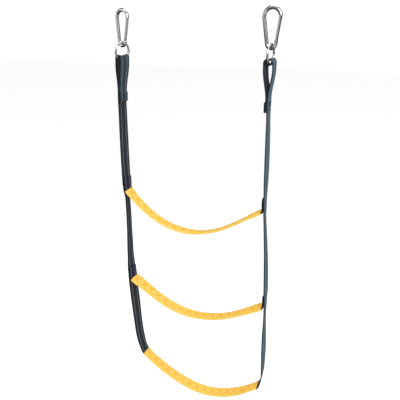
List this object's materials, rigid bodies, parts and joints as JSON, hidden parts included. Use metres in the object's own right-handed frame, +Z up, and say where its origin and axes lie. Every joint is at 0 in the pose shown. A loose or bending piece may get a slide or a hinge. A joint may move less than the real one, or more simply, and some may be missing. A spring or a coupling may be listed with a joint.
{
  "type": "escape ladder",
  "caption": "Webbing escape ladder with sagging sleeved treads, hung from two snap hooks and welded rings, for climbing out of a window or a boat.",
  "frame": {"origin": "inside the left hook's crown, where the hook bears on what it is clipped over", "axes": "+X from the left hook to the right hook, +Y away from the front, +Z up, ladder hanging down"},
  "size_m": [0.4692, 0.0521, 1.1952],
  "materials": {
    "polished_steel": "polished stainless steel",
    "ring_steel": "polished stainless steel, welded",
    "pin_steel": "turned steel",
    "spring_steel": "drawn wire",
    "strap_webbing": "heavy woven webbing, charcoal with two lighter ribs",
    "strap_thread": "bonded sewing thread, dark violet blue",
    "tread_sleeve": "yellow coated tubular weave with a diamond pattern"
  },
  "bodies": {
    "hooks": {"left_hook_body": "polished_steel", "left_hinge_pin": "pin_steel", "right_hook_body": "polished_steel", "right_hinge_pin": "pin_steel"},
    "left_gate": {"left_gate": "polished_steel", "left_latch_pin": "pin_steel", "left_gate_spring": "spring_steel"},
    "left_plunger": {"left_plunger": "pin_steel"},
    "left_ring": {"left_ring": "ring_steel"},
    "left_strap": {"left_strap_loop": "strap_webbing", "left_side_strap": "strap_webbing", "left_loop_stitching": "strap_thread", "tread_1_left_sewn_end": "strap_webbing", "tread_1_left_stitching": "strap_thread", "tread_2_left_sewn_end": "strap_webbing", "tread_2_left_stitching": "strap_thread"},
    "right_gate": {"right_gate": "polished_steel", "right_latch_pin": "pin_steel", "right_gate_spring": "spring_steel"},
    "right_plunger": {"right_plunger": "pin_steel"},
    "right_ring": {"right_ring": "ring_steel"},
    "right_strap": {"right_strap_loop": "strap_webbing", "right_side_strap": "strap_webbing", "right_loop_stitching": "strap_thread", "tread_1_right_sewn_end": "strap_webbing", "tread_1_right_stitching": "strap_thread", "tread_2_right_sewn_end": "strap_webbing", "tread_2_right_stitching": "strap_thread"},
    "tread_1": {"tread_1_webbing": "strap_webbing", "tread_1_sleeve": "tread_sleeve"},
    "tread_2": {"tread_2_webbing": "strap_webbing", "tread_2_sleeve": "tread_sleeve"},
    "bottom_tread": {"bottom_tread_webbing": "strap_webbing", "bottom_tread_sleeve": "tread_sleeve"}
  },
  "joints": [
    {"name": "left_gate_hinge", "type": "hinge", "parent": "hooks", "child": "left_gate", "pos_m": [0.00539, -0.00308, -0.07014], "axis": [-0.2578, -0.9659, 0.0226], "range_deg": [0, 26], "stiffness_Nm_per_rad": 0.6, "springref_deg": -17.19},
    {"name": "left_plunger_slide", "type": "slide", "parent": "left_gate", "child": "left_plunger", "axis": [0.2248, -0.0373, 0.9737], "range_m": [0, 0.00066], "deforming": ["left_gate_spring"]},
    {"name": "right_gate_hinge", "type": "hinge", "parent": "hooks", "child": "right_gate", "pos_m": [0.42079, -0.00062, -0.06958], "axis": [-0.0523, -0.9986, 0.0008], "range_deg": [0, 26], "stiffness_Nm_per_rad": 0.6, "springref_deg": -17.19},
    {"name": "right_plunger_slide", "type": "slide", "parent": "right_gate", "child": "right_plunger", "axis": [0.1594, -0.0075, 0.9872], "range_m": [0, 0.00066], "deforming": ["right_gate_spring"]},
    {"name": "left_ring_swing", "type": "hinge", "parent": "hooks", "child": "left_ring", "pos_m": [-0.00747, 0, -0.08542], "axis": [1, 0, 0], "range_deg": [-60, 60]},
    {"name": "left_strap_sway", "type": "hinge", "parent": "left_ring", "child": "left_strap", "pos_m": [-0.01004, 0, -0.11476], "axis": [0, 1, 0], "range_deg": [-10, 10]},
    {"name": "right_ring_swing", "type": "hinge", "parent": "hooks", "child": "right_ring", "pos_m": [0.40865, 0, -0.08574], "axis": [1, 0, 0], "range_deg": [-60, 60]},
    {"name": "right_strap_sway", "type": "hinge", "parent": "right_ring", "child": "right_strap", "pos_m": [0.40819, 0, -0.11519], "axis": [0, 1, 0], "range_deg": [-10, 10]},
    {"name": "tread_1_level", "type": "hinge", "parent": "left_strap", "child": "tread_1", "pos_m": [-0.02358, 0, -0.49941], "axis": [0, 1, 0], "range_deg": [-10, 10]},
    {"name": "tread_2_level", "type": "hinge", "parent": "left_strap", "child": "tread_2", "pos_m": [-0.02814, 0, -0.80527], "axis": [0, 1, 0], "range_deg": [-10, 10]},
    {"name": "bottom_tread_level", "type": "hinge", "parent": "left_strap", "child": "bottom_tread", "pos_m": [-0.00121, 0, -1.0905], "axis": [0, 1, 0], "range_deg": [-10, 10]}
  ],
  "couplings": [
    {"joint": "left_plunger_slide", "follows": "left_gate_hinge", "m_per_rad": 0.001432},
    {"joint": "right_plunger_slide", "follows": "right_gate_hinge", "m_per_rad": 0.001432},
    {"joint": "right_ring_swing", "follows": "left_ring_swing", "ratio": 1},
    {"joint": "right_strap_sway", "follows": "left_strap_sway", "ratio": 1},
    {"joint": "tread_1_level", "follows": "left_strap_sway", "ratio": -1},
    {"joint": "tread_2_level", "follows": "left_strap_sway", "ratio": -1},
    {"joint": "bottom_tread_level", "follows": "left_strap_sway", "ratio": -1}
  ]
}
